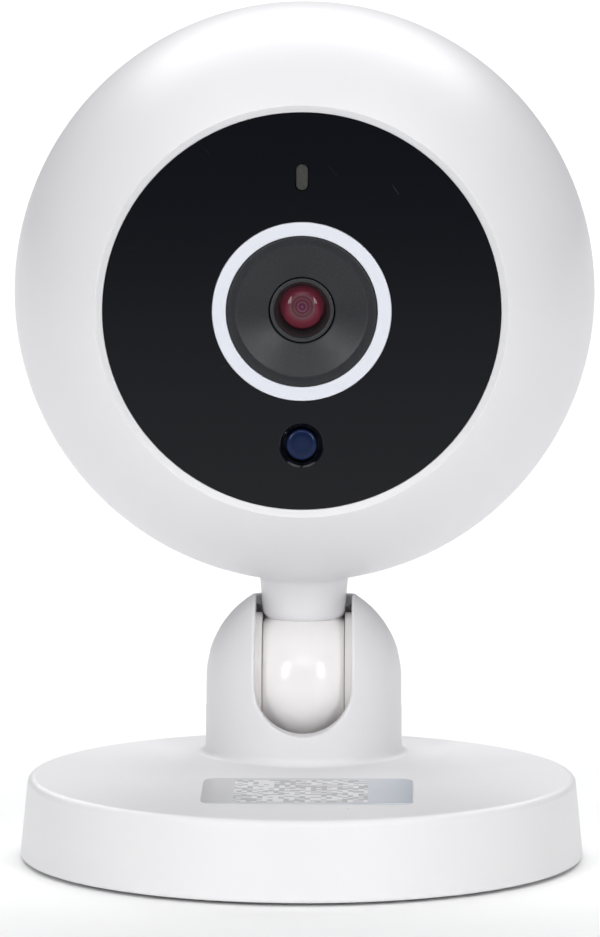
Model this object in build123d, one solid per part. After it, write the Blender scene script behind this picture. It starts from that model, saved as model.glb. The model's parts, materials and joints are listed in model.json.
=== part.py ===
from build123d import *
import os
from math import cos, radians, sin, sqrt

# Home security camera: a round head on a tilting and turning neck, on a weighted round stand.
# Millimetres, +Z up, origin at the centre of the foot pad's underside. The lens looks along -Y.

# ---- Fits and fasteners -------------------------------------------------------------------
fit_gap = 0.1            # radial gap between two moulded pieces that are assembled once
run_gap = 0.05           # radial gap of a pin that turns or slides in its hole
screw_gap = 0.03         # thread relief round a screw shank in its pilot hole
screw_r = 0.85           # M1.7 case and board screws
screw_head_r = 1.65
screw_head_h = 1.1
recess_depth = 0.6       # cross recess in every screw head

# ---- Stand --------------------------------------------------------------------------------
base_rim_r = 31.2        # outer radius at the foot
base_draft = 0.9         # the side leans in by this much
base_top_r = base_rim_r - base_draft
base_top_z = 9.2
base_wall = 2.0
base_edge = 0.8          # rounding of the top edge
base_rim_edge = 0.3      # rounding of the lower edge
foot_lift = 0.4          # rim of the cover above the table
pad_thick = 1.0
pad_inset = 0.9          # pad edge inside the bottom plate's edge
plate_thick = 1.6
ballast_r = 24.0
ballast_back = 3.0       # straight rear edge of the ballast, behind the centre
boss_r = 2.3
bottom_screw_r = 25.4    # radius of the ring of bottom screws
bottom_screw_angles = (35, 145, 230, 310)

label_w = 23.0
label_d = 16.4
label_corner = 1.2
label_thick = 0.15
label_x = 0.8
label_y = -11.5

# ---- Yoke and tilt knuckle ----------------------------------------------------------------
yoke_back = 16.4         # yoke axis behind the stand's centre
yoke_r = 11.05           # column and dome
yoke_foot = 0.9          # concave rounding where the column meets the base
ball_z = 17.6            # tilt axis, and centre of the knuckle's rounding and of the dome
ball_r = 8.1
ball_half = 4.6          # the knuckle is a ball with flat sides, this far from the middle
channel_gap = 0.3        # clearance round the knuckle inside the yoke
slot_half = 5.4          # half width of the slot for the knuckle and neck
slot_floor = 5.1         # lowest point of the slot's front edge below the tilt axis
slot_rear = 1.0          # the slot's round end lies this far behind the axis
slot_edge = 0.25         # rounding of the slot's edge
pivot_r = 1.25           # M2.5 pivot screw, along X
pivot_head_r = 2.25
pivot_head_h = 1.5
pivot_seat = yoke_r - 2.55   # screw head seat from the middle
nut_r = 2.89             # corner radius of the nut
nut_seat = yoke_r - 3.05
nut_thick = 2.0
washer_inset = 0.7       # friction washer's rim inside the knuckle's
washer_r = ball_r - washer_inset
side_cap_r = 3.1         # round caps over the pivot screw's ends
side_cap_seat = yoke_r - 1.0

stem_r = 2.95
stem_rise = 0.9          # stem end above the boss inside the head
stem_screw_r = 1.0
stem_screw_head_r = 2.4
stem_screw_head_h = 1.5
stem_screw_len = 9.0
stem_washer_r = 5.2
stem_washer_thick = 0.8
stem_spring_thick = 0.3

# ---- Head ---------------------------------------------------------------------------------
head_r = 32.5
head_gap = 0.25          # dome of the yoke to the head
ball_to_head = head_r + yoke_r + head_gap     # tilt axis to head centre
shell_wall = 2.0
split_back = 8.0         # parting plane behind the head centre
split_edge = 0.25        # small bevel on both sides of the parting line
lip_r = head_r - 2.5     # locating lip of the front shell, inside the rear shell
lip_thick = 1.0
lip_len = 2.0
neck_end_r = 4.1         # neck radius at the knuckle, below its rounded shoulder
neck_shoulder_r = 4.66
neck_shoulder = 8.0      # height of the shoulder above the tilt axis
neck_top_r = 4.95        # neck radius at the head
neck_fillet = 0.35       # rounding where the neck meets the head
neck_end = 6.95          # lower end of the neck above the tilt axis
neck_gap = 0.12          # neck end to knuckle
neck_boss_r = 6.4
neck_boss = 0.7          # height of the boss above the shell's inside
neck_boss_top = yoke_r + head_gap + shell_wall + neck_boss
stem_top = neck_boss_top + stem_rise     # all heights of the stem are above the tilt axis
shell_screw_ring = head_r - 6.1  # three screws join the shells
shell_screw_angles = (90, 210, 330)
shell_screw_len = 9.0
shell_screw_seat = 12.5  # screw head seat behind the head centre
shell_boss_r = 2.5
cap_r = 2.1              # plugs over the shell screws

# ---- Face ---------------------------------------------------------------------------------
face_z = 22.67           # front of the black face, ahead of the head centre
face_r = 21.8            # opening for the black face
face_thick = 1.5
bevel_r = 22.59          # outer edge of the white bevel round the face
shelf_hole_r = 18.8
shelf_thick = 1.97
ring_r = 9.82            # white light ring
ring_inner_r = 8.29
ring_flange_r = 10.6
ring_flange = 1.0
ring_depth = 2.6
hood_band_r = 7.2        # outer edge of the hood's funnel
hood_throat_r = 3.6
hood_funnel = 1.5        # depth of the funnel
hood_wall = 1.2
window_up = 14.7         # pill window above and light sensor below the face centre
window_w = 1.42
window_h = 2.95
window_sink = 0.35
sensor_r = 1.75
sensor_hole_r = 2.0
sensor_bevel_r = 2.45
sensor_bevel = 0.5
sensor_sink = 0.55

# ---- Lens and infrared filter, distances ahead of the head centre ---------------------------
barrel_r = 3.5
barrel_front = 21.1
barrel_rear = 11.2
barrel_mouth_r = 3.1
glass_r = 2.45           # clear radius of the front glass
glass_seat = 18.8
element_r = 2.8
element_gap = 0.05
front_element_thick = 1.6
front_element_dome = 0.55
rear_element_thick = 2.2
retainer_thick = 1.0
holder_tube_r = 5.0
holder_front = 16.0
holder_body_front = 13.0
holder_w = 18.6
holder_low = -5.2
holder_high = 9.8
holder_ear_x = 11.6
holder_ear_thick = 1.6
filter_r = 2.1
filter_pitch = 4.6       # the two filters are this far apart, and the slide travels as far
slide_w = 10.2
slide_h = 5.6
slide_thick = 0.9
chamber_gap = 0.1        # above, below, before and behind the slide
chamber_end = 0.3        # spare length at each end of its travel
chamber_rear = 9.5
aperture_plate = 0.5
coil_r = 2.0
coil_len = 9.0
coil_up = 6.6

# ---- Boards ---------------------------------------------------------------------------------
board_thick = 1.2
camera_board_z = 8.0     # front face
camera_board_r = 22.4
main_board_z = -2.0      # front face
main_board_r = 23.2
post_ring = 19.4         # four posts carry both boards
post_angles = (45, 135, 225, 315)
post_screw_len = 15.0
standoff_r = 2.2
led_board_thick = 1.0
led_board_r = 20.2
led_ring = 13.0
led_size = 3.2
led_height = 1.7
led_screw_ring = 19.5
led_screw_len = 2.6
image_sensor_w = 6.4
image_sensor_thick = 0.8
small_led = (1.6, 0.8, 0.6)
# Width, height, thickness, x and y of the packages on the rear of the main board
processor_size = (12.0, 12.0, 1.2, -6.0, 3.0)
heat_spreader_size = (17.0, 17.0, 1.5, -6.0, 3.0)
wifi_size = (9.0, 8.0, 2.2, 7.3, 12.0)
capacitor_spots = ((9.5, -3.0), (14.0, -3.0), (9.5, -8.0))
capacitor_r = 2.0
capacitor_h = 3.4
antenna_w = 14.0
antenna_up = 18.2
antenna_h = 4.0
antenna_thick = 0.4
flex_w = 8.0
flex_thick = 0.25
flex_socket = (10.0, 3.0, 1.4)
flex_socket_up = -12.0
flex_loop = 5.0          # how far the flat cable bows out below its sockets
flex_bend = 1.5

# ---- Port panel at the rear, tilted down; distances are from the head centre ----------------
port_drop = 20.0         # degrees below the horizontal
port_face = 30.1
port_w = 20.0
port_h = 11.0
port_corner = 2.0
port_plate = 1.2
port_flange = 1.2
port_flange_over = 0.8
port_boss_over = 2.0
port_board_w = 19.0
port_board_inner = 11.0
port_board_thick = 1.0
port_board_top = 0.6     # top face above the panel's centre line
usb_w = 7.5
usb_h = 2.8
usb_len = 5.6
usb_sink = 0.5           # socket mouth below the panel face
card_w = 14.0
card_h = 1.7
card_len = 14.6
card_slot_w = 12.2
card_slot_h = 1.4
ledge_in = 7.2
ledge_out = 9.6
ledge_len = 9.0
ledge_high = 3.0
port_screw_x = 8.4
port_screw_z = 20.5
button_x = 6.9
button_r = 1.4
button_flange_r = 2.0
button_flange = 0.6
button_proud = 0.3
button_travel = 0.5
plunger_r = 0.7
plunger_len = 1.4
switch_size = (4.2, 2.6, 3.4)
mic_size = (3.4, 2.4, 1.2)
mic_hole_r = 0.5

# ---- Speaker at the rear, tilted up -----------------------------------------------------------
speaker_rise = 20.0      # degrees above the horizontal
speaker_r = 9.0
speaker_front = 26.6
speaker_rim = 1.8
speaker_depth = 4.2
speaker_magnet_r = 6.2
gasket_thick = 0.6
gasket_in_r = 8.0
speaker_ring_wall = 1.3
grille_hole_r = 0.6
grille_pitch = 2.35
grille_rings = 4
bracket_thick = 1.0
bracket_x = 12.8
bracket_boss_r = 2.1
bracket_screw_len = 3.5

# ---- Places -----------------------------------------------------------------------------------
STAND = Location((0, 0, 0))
YOKE = Location((0, yoke_back, 0))
BALL = Location((0, yoke_back, ball_z))
HEAD = Location((0, yoke_back, ball_z + ball_to_head), (90, 0, 0))    # x right, y up, z forward
REAR = HEAD * Location((0, 0, 0), (0, 180, 0))                         # z backward
PORT = REAR * Location((0, 0, 0), (port_drop, 0, 0))
SPEAKER = REAR * Location((0, 0, 0), (-speaker_rise, 0, 0))

inner_r = head_r - shell_wall
plate_top = pad_thick + plate_thick
base_ceiling = base_top_z - base_wall
plate_r = base_top_r - base_wall + 0.8
channel_r = ball_r + channel_gap
shelf_front = face_z - face_thick
shelf_back = shelf_front - shelf_thick
hood_r = ring_inner_r - run_gap
led_board_front = shelf_back
chamber_front = chamber_rear + slide_thick + 2 * chamber_gap
port_plate_back = port_face - port_plate
port_flange_back = port_plate_back - port_flange
port_board_outer = port_flange_back - fit_gap
under_board = port_board_top - port_board_thick
row_v = under_board - usb_h / 2          # centre line of the USB socket, button and microphone
card_v = port_board_top + card_h / 2
main_board_back = main_board_z - board_thick


# ---- Small helpers ----------------------------------------------------------------------------
def rod(r, z0, z1, x=0.0, y=0.0):
    return Pos(x, y, z0) * Cylinder(r, z1 - z0, align=(Align.CENTER, Align.CENTER, Align.MIN))


def pipe(r_out, r_in, z0, z1, x=0.0, y=0.0):
    return rod(r_out, z0, z1, x, y) - rod(r_in, z0 - 1, z1 + 1, x, y)


def block(w, h, z0, z1, x=0.0, y=0.0, corner=0.0):
    """A box w wide and h high between z0 and z1, with rounded corners if a radius is given."""
    outline = RectangleRounded(w, h, corner) if corner else Rectangle(w, h)
    return Pos(x, y, z0) * extrude(outline, z1 - z0)


def frustum(r0, r1, z0, z1):
    return Pos(0, 0, z0) * Cone(r0, r1, z1 - z0, align=(Align.CENTER, Align.CENTER, Align.MIN))


def polar(r, angles):
    return [(r * cos(radians(a)), r * sin(radians(a))) for a in angles]


def at_spots(shape, spots):
    return Part() + [Pos(x, y) * shape for x, y in spots]


def spin(points):
    """Turn a closed outline of (radius, height) points round the Z axis."""
    outline = make_face(Polyline(*[(r, 0, z) for r, z in points], close=True))
    return revolve(outline, Axis.Z)


def dished_washer(r_in, r_out, z0, z1, thick):
    """A conical spring washer that is high at its hole and low at its rim."""
    return spin([(r_in, z1 - thick), (r_in, z1), (r_out, z0 + thick), (r_out, z0)])


def screw(length, shank=screw_r, head_r=screw_head_r, head_h=screw_head_h):
    """A pan head screw that points along +Z from its seat at z = 0."""
    cross = Rectangle(head_r * 1.2, head_r * 0.3) + Rectangle(head_r * 0.3, head_r * 1.2)
    head = rod(head_r, -head_h, 0)
    head = chamfer(head.edges().group_by(Axis.Z)[0], head_h * 0.35)
    return head + rod(shank, 0, length) - Pos(0, 0, -head_h) * extrude(cross, recess_depth)


def turned(shape):
    """The same shape pointing the other way along Z."""
    return Rot(180, 0, 0) * shape


def package(size, z_back):
    """A board package that stands on the plane z_back and reaches away from the board's rear."""
    w, h, thick, x, y = size
    return block(w, h, z_back - thick, z_back, x, y, 0.3)


def ribbon(points, radius):
    """A flat cable in the plane of y and z of the head, as wide as flex_w."""
    line = FilletPolyline(*points, radius=radius)
    strip = extrude(trace(line, line_width=flex_thick), flex_w / 2, both=True)
    return Location((0, 0, 0), (0, -90, 0)) * strip


# ---- Stand --------------------------------------------------------------------------------------
def slot_cutter(grow=0.0):
    """The neck's way out of the dome: a U in front, open at the top, round behind the axis."""
    half = slot_half + grow
    rise = 3 * yoke_r
    centre = slot_half - slot_floor
    profile = Pos(0, centre) * Circle(half) + Pos(0, centre + rise / 2) * Rectangle(2 * half, rise)
    front = Location((0, 0, 0), (90, 0, 0)) * extrude(profile, 2 * yoke_r)
    back = rod(half, centre, centre + rise, 0, slot_rear)
    link = Pos(0, slot_rear / 2, centre + rise / 2) * Box(2 * half, slot_rear, rise)
    return front + back + link


def bottom_spots():
    return polar(bottom_screw_r, bottom_screw_angles)


def on_slot_rim(edge):
    """True for the edges where the neck's slot meets the outside of the column and dome."""
    spot = edge @ 0.5 - Vector(0, yoke_back, ball_z)
    reach = spot.length if spot.Z > 0 else sqrt(spot.X**2 + spot.Y**2)
    return abs(reach - yoke_r) < 0.01 and abs(spot.X) < slot_half + 0.01 and spot.Z > -slot_floor - 0.01


def yoke_body(r):
    """The column below the tilt axis and the dome above it."""
    return YOKE * rod(r, base_ceiling, ball_z) + BALL * Sphere(r)


def along_pivot(shape):
    """Turn a shape drawn along Z so that it lies along the tilt axis, towards +X."""
    return BALL * Location((0, 0, 0), (0, 90, 0)) * shape


def nut_outline(r):
    return RegularPolygon(r, 6)


def pivot_cuts():
    """Holes for the pivot screw, its head, its nut and the two side caps."""
    caps = rod(side_cap_r + run_gap, side_cap_seat, yoke_r) + rod(side_cap_r + run_gap, -yoke_r, -side_cap_seat)
    head = rod(pivot_head_r + fit_gap, pivot_seat, yoke_r)
    nut = Pos(0, 0, -yoke_r) * extrude(nut_outline(nut_r + run_gap), yoke_r - nut_seat)
    return along_pivot(rod(pivot_r + fit_gap, -yoke_r, yoke_r) + caps + head + nut)


def knuckle_channel():
    """The space inside the yoke, as wide as the slot, that lets the knuckle in from below."""
    depth = ball_z - plate_top
    turn = Location((0, 0, 0), (0, 90, 0)) * rod(channel_r, -slot_half, slot_half)
    return BALL * (turn + Pos(0, 0, -depth / 2) * Box(2 * slot_half, 2 * channel_r, depth))


def base_cover():
    disc = frustum(base_rim_r, base_top_r, foot_lift, base_top_z)
    disc = fillet(disc.edges().group_by(Axis.Z)[-1], base_edge)
    disc = fillet(disc.edges().group_by(Axis.Z)[0], base_rim_edge)
    body = disc + yoke_body(yoke_r)
    foot = [e for e in body.edges().filter_by(GeomType.CIRCLE)
            if abs(e.center().Z - base_top_z) < 0.01 and abs(e.radius - yoke_r) < 0.01]
    body = fillet(foot, yoke_foot) - BALL * slot_cutter()
    body = fillet([e for e in body.edges() if on_slot_rim(e)], slot_edge)
    body -= rod(base_top_r - base_wall, plate_top, base_ceiling)
    body -= rod(plate_r + fit_gap, 0, plate_top)
    body += at_spots(rod(boss_r, plate_top, base_ceiling), bottom_spots())
    body -= at_spots(rod(screw_r + screw_gap, 0, base_top_z - base_edge), bottom_spots())
    return body - knuckle_channel() - pivot_cuts()


def base_label():
    return block(label_w, label_d, base_top_z, base_top_z + label_thick, label_x, label_y, label_corner)


def pivot_screw():
    one = screw(pivot_seat + nut_seat + nut_thick, pivot_r, pivot_head_r, pivot_head_h)
    return along_pivot(Pos(0, 0, pivot_seat) * turned(one))


def pivot_nut():
    nut = extrude(nut_outline(nut_r), nut_thick) - rod(pivot_r + screw_gap, 0, nut_thick)
    return along_pivot(Pos(0, 0, -nut_seat - nut_thick) * nut)


def pivot_washers():
    one = pipe(washer_r, pivot_r + fit_gap, ball_half + run_gap, slot_half)
    return along_pivot(one + turned(one))


def pivot_caps():
    one = rod(side_cap_r, side_cap_seat, yoke_r)
    return along_pivot(one + turned(one)) & yoke_body(yoke_r - run_gap)


def ballast_plate():
    top = base_ceiling - fit_gap
    plate = rod(ballast_r, plate_top, top) - Pos(0, ballast_back + ballast_r) * Box(
        4 * ballast_r, 2 * ballast_r, 4 * base_top_z)
    plate -= at_spots(rod(boss_r + 2 * fit_gap, 0, base_top_z), bottom_spots())
    return chamfer(plate.edges().group_by(Axis.Z)[-1], 0.3)


def bottom_plate():
    plate = rod(plate_r, pad_thick, plate_top)
    sink = screw_head_h + fit_gap
    plate -= at_spots(rod(screw_head_r + fit_gap, pad_thick, pad_thick + sink), bottom_spots())
    return plate - at_spots(rod(screw_r + fit_gap, pad_thick, plate_top), bottom_spots())


def bottom_screws():
    seat = pad_thick + screw_head_h + fit_gap
    length = base_top_z - base_edge - seat - fit_gap
    return Pos(0, 0, seat) * at_spots(screw(length), bottom_spots())


def foot_pad():
    pad = rod(plate_r - pad_inset, 0, pad_thick)
    return fillet(pad.edges().group_by(Axis.Z)[0], 0.3)


# ---- Tilt knuckle and stem, heights above the tilt axis ---------------------------------------------
def tilt_knuckle():
    """A ball with flat sides, the neck's stem on top and the bore for the pivot screw."""
    ball = Sphere(ball_r) & Box(2 * ball_half, 2 * ball_r, 2 * ball_r)
    pilot = rod(stem_screw_r + screw_gap, stem_top - stem_screw_len - fit_gap, stem_top)
    bore = Location((0, 0, 0), (0, 90, 0)) * rod(pivot_r + run_gap, -ball_r, ball_r)
    return BALL * (ball + rod(stem_r, 0, stem_top) - pilot - bore)


def stem_spring():
    return BALL * dished_washer(stem_r + fit_gap, stem_washer_r, neck_boss_top + run_gap, stem_top,
                                stem_spring_thick)


def stem_washer():
    return BALL * pipe(stem_washer_r, stem_screw_r + fit_gap, stem_top, stem_top + stem_washer_thick)


def stem_screw():
    seat = stem_top + stem_washer_thick
    one = screw(stem_screw_len, stem_screw_r, stem_screw_head_r, stem_screw_head_h)
    return BALL * Pos(0, 0, seat) * turned(one)


# ---- Head shells ------------------------------------------------------------------------------------
def half_space(z0, z1):
    return block(4 * head_r, 4 * head_r, z0, z1)


def post_spots():
    return polar(post_ring, post_angles)


def front_shell():
    rim = sqrt(head_r**2 - bevel_r**2)
    bowl = Sphere(head_r) & half_space(-split_back, rim)
    bowl = chamfer(bowl.edges().group_by(Axis.Z)[0], split_edge)
    bowl -= Sphere(inner_r) & half_space(-head_r, shelf_back)
    bowl -= rod(shelf_hole_r, 0, rim) + rod(face_r, shelf_front, rim)
    bowl -= frustum(face_r, bevel_r, face_z, rim)
    lip = pipe(lip_r, lip_r - lip_thick, -split_back - lip_len, -split_back + lip_len)
    bowl += lip
    bowl += at_spots(rod(boss_r, camera_board_z, shelf_back), post_spots())
    shell_bosses = at_spots(rod(boss_r, -split_back, head_r), shell_screw_spots())
    bowl += shell_bosses & Sphere(inner_r + shell_wall / 2)
    pilot = rod(screw_r + screw_gap, -split_back, -shell_screw_seat + shell_screw_len + fit_gap)
    bowl -= at_spots(pilot, shell_screw_spots())
    post_pilot = rod(screw_r + screw_gap, 0, main_board_back + post_screw_len + fit_gap)
    bowl -= at_spots(post_pilot, post_spots())
    led_pilot = rod(screw_r + screw_gap, 0, led_board_front - led_board_thick + led_screw_len + fit_gap)
    bowl -= at_spots(led_pilot, polar(led_screw_ring, (0, 90, 180, 270)))
    shell = HEAD * bowl + neck()
    shell = fillet([e for e in shell.edges() if on_neck_root(e)], neck_fillet)
    return shell - BALL * rod(stem_r + run_gap, 0, ball_to_head / 2)


def on_neck_root(edge):
    """True for the edge where the neck meets the outside of the head."""
    spot = edge @ 0.5 - Vector(0, yoke_back, ball_z)
    off = sqrt(spot.X**2 + spot.Y**2)
    return abs(off - neck_top_r) < 0.05 and abs(spot.Z - ball_to_head + head_r) < 1.0


def neck():
    """Tapered neck with a rounded lower shoulder over the knuckle, and a boss inside the head."""
    top = ball_to_head - head_r + shell_wall / 2
    low = neck_end - 1
    side = Line((neck_top_r, 0, top), (neck_shoulder_r, 0, neck_shoulder))
    shoulder = TangentArc((neck_shoulder_r, 0, neck_shoulder), (neck_end_r, 0, neck_end), tangent=side % 1)
    rest = Polyline((neck_end_r, 0, neck_end), (neck_end_r, 0, low), (0, 0, low), (0, 0, top),
                    (neck_top_r, 0, top))
    tube = revolve(make_face(side + shoulder + rest), Axis.Z)
    return BALL * (tube + rod(neck_boss_r, top, neck_boss_top) - Sphere(ball_r + neck_gap))


def shell_screw_spots():
    return polar(shell_screw_ring, shell_screw_angles)


def rear_shell():
    skin = REAR * Sphere(head_r)
    bowl = Sphere(head_r) & half_space(split_back, head_r)
    bowl = chamfer(bowl.edges().group_by(Axis.Z)[0], split_edge)
    bowl -= Sphere(inner_r) + rod(lip_r + fit_gap, 0, split_back + lip_len + fit_gap)
    bosses = at_spots(rod(shell_boss_r, split_back, head_r), rear_screw_spots())
    bowl += bosses & Sphere(inner_r + shell_wall / 2)
    bowl -= at_spots(rod(screw_r + fit_gap, 0, head_r), rear_screw_spots())
    bowl -= at_spots(rod(cap_r + run_gap, shell_screw_seat, head_r), rear_screw_spots())
    shell = REAR * bowl
    shell += (PORT * port_frame()) & skin
    shell -= PORT * port_opening()
    shell += (SPEAKER * speaker_seat()) & skin
    shell -= SPEAKER * rod(gasket_in_r, 0, speaker_front + gasket_thick)
    pilot_end = bracket_back() - bracket_thick + bracket_screw_len + fit_gap
    shell -= SPEAKER * at_spots(rod(screw_r + screw_gap, 0, pilot_end), bracket_spots())
    return shell - SPEAKER * at_spots(rod(grille_hole_r, speaker_front, head_r + 1), grille_spots())


def rear_screw_spots():
    """The shell screws seen from behind, where x runs the other way."""
    return [(-x, y) for x, y in shell_screw_spots()]


def port_frame():
    return block(port_w + 2 * port_boss_over, port_h + 2 * port_boss_over, port_plate_back, head_r)


def port_opening():
    hole = block(port_w + 2 * run_gap, port_h + 2 * run_gap, 0, 2 * head_r, corner=port_corner)
    over = 2 * (port_flange_over + fit_gap)
    return hole + block(port_w + over, port_h + over, port_board_inner, port_plate_back, corner=port_corner)


def speaker_seat():
    """A ring that holds the speaker, its bottom flange and two screw bosses."""
    ring_r = speaker_r + fit_gap + speaker_ring_wall
    ring = pipe(ring_r, speaker_r + fit_gap, speaker_front - speaker_rim, head_r)
    flange = rod(ring_r, speaker_front + gasket_thick, head_r)
    return ring + flange + at_spots(rod(bracket_boss_r, bracket_back(), head_r), bracket_spots())


def bracket_back():
    """Face of the bosses on which the speaker bracket lies."""
    return speaker_front - speaker_rim


def bracket_spots():
    return [(-bracket_x, 0), (bracket_x, 0)]


def grille_spots():
    spots = [(0, 0)]
    for ring in range(1, grille_rings):
        spots += polar(ring * grille_pitch, [a * 60 / ring for a in range(6 * ring)])
    return spots


def shell_screws():
    return REAR * Pos(0, 0, shell_screw_seat) * at_spots(turned(screw(shell_screw_len)), rear_screw_spots())


def screw_caps():
    inner = shell_screw_seat + screw_head_h + fit_gap
    return REAR * (at_spots(rod(cap_r, inner, head_r), rear_screw_spots()) & Sphere(head_r - fit_gap))


# ---- Face ---------------------------------------------------------------------------------------------
def window(grow, z0, z1):
    w = window_w + 2 * grow
    h = window_h + 2 * grow
    return block(w, h, z0, z1, 0, window_up, w / 2 - 0.01)


def face_panel():
    disc = rod(face_r - run_gap, shelf_front, face_z)
    disc -= rod(ring_r + run_gap, 0, head_r) + window(run_gap, 0, head_r)
    disc -= rod(sensor_hole_r, 0, head_r, 0, -window_up)
    return disc - Pos(0, -window_up) * frustum(sensor_hole_r, sensor_bevel_r, face_z - sensor_bevel, face_z)


def light_ring():
    back = face_z - ring_depth
    ring = pipe(ring_r, ring_inner_r, back, face_z)
    return ring + pipe(ring_flange_r, ring_inner_r, back, back + ring_flange)


def lens_hood():
    hood = rod(hood_r, holder_front, face_z)
    funnel_back = face_z - hood_funnel
    hood -= frustum(hood_throat_r, hood_band_r, funnel_back, face_z) + rod(hood_throat_r, 0, face_z)
    well = rod(hood_r - hood_wall, holder_front, funnel_back - hood_wall)
    return hood - (well - rod(hood_throat_r + hood_wall, holder_front + 1, face_z))


def status_light_guide():
    return window(0, led_board_front + small_led[2] + fit_gap, face_z - window_sink)


def light_sensor():
    body = rod(sensor_r, led_board_front, face_z - sensor_sink, 0, -window_up)
    return fillet(body.edges().group_by(Axis.Z)[-1], 0.35)


# ---- Lens ------------------------------------------------------------------------------------------------
def lens_barrel():
    bore = element_r + element_gap
    barrel = rod(barrel_r, barrel_rear, barrel_front) - rod(bore, 0, glass_seat)
    barrel -= frustum(glass_r, barrel_mouth_r, glass_seat, barrel_front) + rod(glass_r, 0, barrel_front)
    return chamfer(barrel.edges().group_by(Axis.Z)[0], 0.2)


def domed_disc(r, thick, dome):
    """A lens element: flat at z = 0, with a spherical front that rises by dome."""
    curve = (r**2 + dome**2) / (2 * dome)
    return rod(r, 0, thick + dome) & Pos(0, 0, thick + dome - curve) * Sphere(curve)


def front_lens():
    """The outer element's dome stands in the barrel's mouth; its shoulder lies behind the seat."""
    disc = rod(element_r, glass_seat - front_element_thick, glass_seat)
    return disc + Pos(0, 0, glass_seat) * domed_disc(glass_r - element_gap, 0.01, front_element_dome)


def rear_lens():
    back = barrel_rear + retainer_thick
    return Pos(0, 0, back) * domed_disc(element_r, rear_element_thick, front_element_dome)


def lens_retainer():
    return pipe(element_r, filter_r, barrel_rear, barrel_rear + retainer_thick)


def lens_spacer():
    low = barrel_rear + retainer_thick + rear_element_thick + front_element_dome
    return pipe(element_r, glass_r, low, glass_seat - front_element_thick)


def slide_room():
    """Half width and half height of the chamber in which the filter slide travels."""
    return slide_w / 2 + filter_pitch / 2 + chamber_end, slide_h / 2 + chamber_gap


def lens_holder():
    middle = (holder_low + holder_high) / 2
    body = block(holder_w, holder_high - holder_low, camera_board_z, holder_body_front, 0, middle, 0.8)
    body += block(2 * holder_ear_x + 4, 5, camera_board_z, camera_board_z + holder_ear_thick, 0, 0, 2.0)
    body += rod(holder_tube_r, holder_body_front, holder_front)
    body -= rod(barrel_r + element_gap, chamber_front, holder_front)
    half_w, half_h = slide_room()
    body -= block(2 * half_w, 2 * half_h, camera_board_z, chamber_front)
    body -= block(2 * half_w + 1.4, 2 * half_h + 1.4, camera_board_z, chamber_rear)
    coil_room = 2 * (coil_r + fit_gap)
    body -= block(coil_len + 2 * fit_gap, coil_room, camera_board_z, camera_board_z + coil_room, 0, coil_up)
    return body - at_spots(rod(screw_r + fit_gap, 0, head_r), holder_spots())


def holder_spots():
    return [(-holder_ear_x, 0), (holder_ear_x, 0)]


def ircut_plate():
    """The aperture plate that closes the slide's chamber from behind."""
    half_w, half_h = slide_room()
    plate = block(2 * half_w + 1.2, 2 * half_h + 1.2, chamber_rear - aperture_plate, chamber_rear)
    return plate - rod(filter_r, 0, head_r)


def ircut_coil():
    turn = Rot(0, 90, 0)
    core = turn * rod(coil_r / 2, -coil_len / 2, coil_len / 2)
    ends = turn * (rod(coil_r, -coil_len / 2, -coil_len / 2 + 0.8) + rod(coil_r, coil_len / 2 - 0.8, coil_len / 2))
    wire = turn * rod(coil_r - 0.3, -coil_len / 2 + 0.8, coil_len / 2 - 0.8)
    return Pos(0, coil_up, camera_board_z + coil_r + fit_gap) * (core + ends + wire)


def filter_spots():
    return [(0, 0), (-filter_pitch, 0)]


def ircut_slide():
    back = chamber_rear + chamber_gap
    frame = block(slide_w, slide_h, back, back + slide_thick, -filter_pitch / 2, 0, 0.6)
    return frame - at_spots(rod(filter_r + run_gap, 0, head_r), filter_spots())


def ircut_filters():
    back = chamber_rear + chamber_gap
    return at_spots(rod(filter_r, back, back + slide_thick), filter_spots())


# ---- Boards and what they carry ----------------------------------------------------------------------------
def camera_board():
    board = rod(camera_board_r, camera_board_z - board_thick, camera_board_z)
    board -= at_spots(rod(screw_r + fit_gap, 0, head_r), post_spots())
    return board - at_spots(rod(screw_r + fit_gap, 0, head_r), holder_spots())


def image_sensor():
    body = block(image_sensor_w, image_sensor_w, camera_board_z, camera_board_z + image_sensor_thick)
    return body - block(image_sensor_w - 1.6, image_sensor_w - 1.6, camera_board_z + image_sensor_thick / 2, head_r)


def ir_led_board():
    board = rod(led_board_r, led_board_front - led_board_thick, led_board_front)
    board -= rod(hood_r + fit_gap, 0, head_r)
    board -= at_spots(rod(boss_r + 2 * fit_gap, 0, head_r), post_spots())
    return board - at_spots(rod(screw_r + fit_gap, 0, head_r), led_screw_spots())


def led_screw_spots():
    return polar(led_screw_ring, (0, 90, 180, 270))


def ir_leds():
    case = block(led_size, led_size, led_board_front, led_board_front + led_height / 2, 0, 0, 0.4)
    lens = Pos(0, 0, led_board_front + led_height / 2) * domed_disc(led_size / 2 - 0.2, 0.05, led_height / 2 - 0.1)
    spots = polar(led_ring, [22.5 + 45 * k for k in range(8)])
    return at_spots(case + lens, spots)


def indicator_leds():
    w, h, thick = small_led
    chip = block(w, h, led_board_front, led_board_front + thick)
    ring = (ring_r + ring_inner_r) / 2
    chips = [Rot(0, 0, 90 + 60 * k) * Pos(ring, 0) * Rot(0, 0, 90) * chip for k in range(6)]
    return Part() + chips + Pos(0, window_up) * chip


def main_board():
    board = rod(main_board_r, main_board_back, main_board_z)
    return board - at_spots(rod(screw_r + fit_gap, -head_r, head_r), post_spots())


def processor():
    return package(processor_size, main_board_back)


def heat_spreader():
    w, h, thick, x, y = heat_spreader_size
    back = main_board_back - processor_size[2]
    fins = [block(w, 1.0, back - 2 * thick, back - thick, x, y + k * 2.6) for k in (-3, -2, -1, 0, 1, 2, 3)]
    return block(w, h, back - thick, back, x, y, 0.5) + fins


def wifi_module():
    return package(wifi_size, main_board_back)


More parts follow.
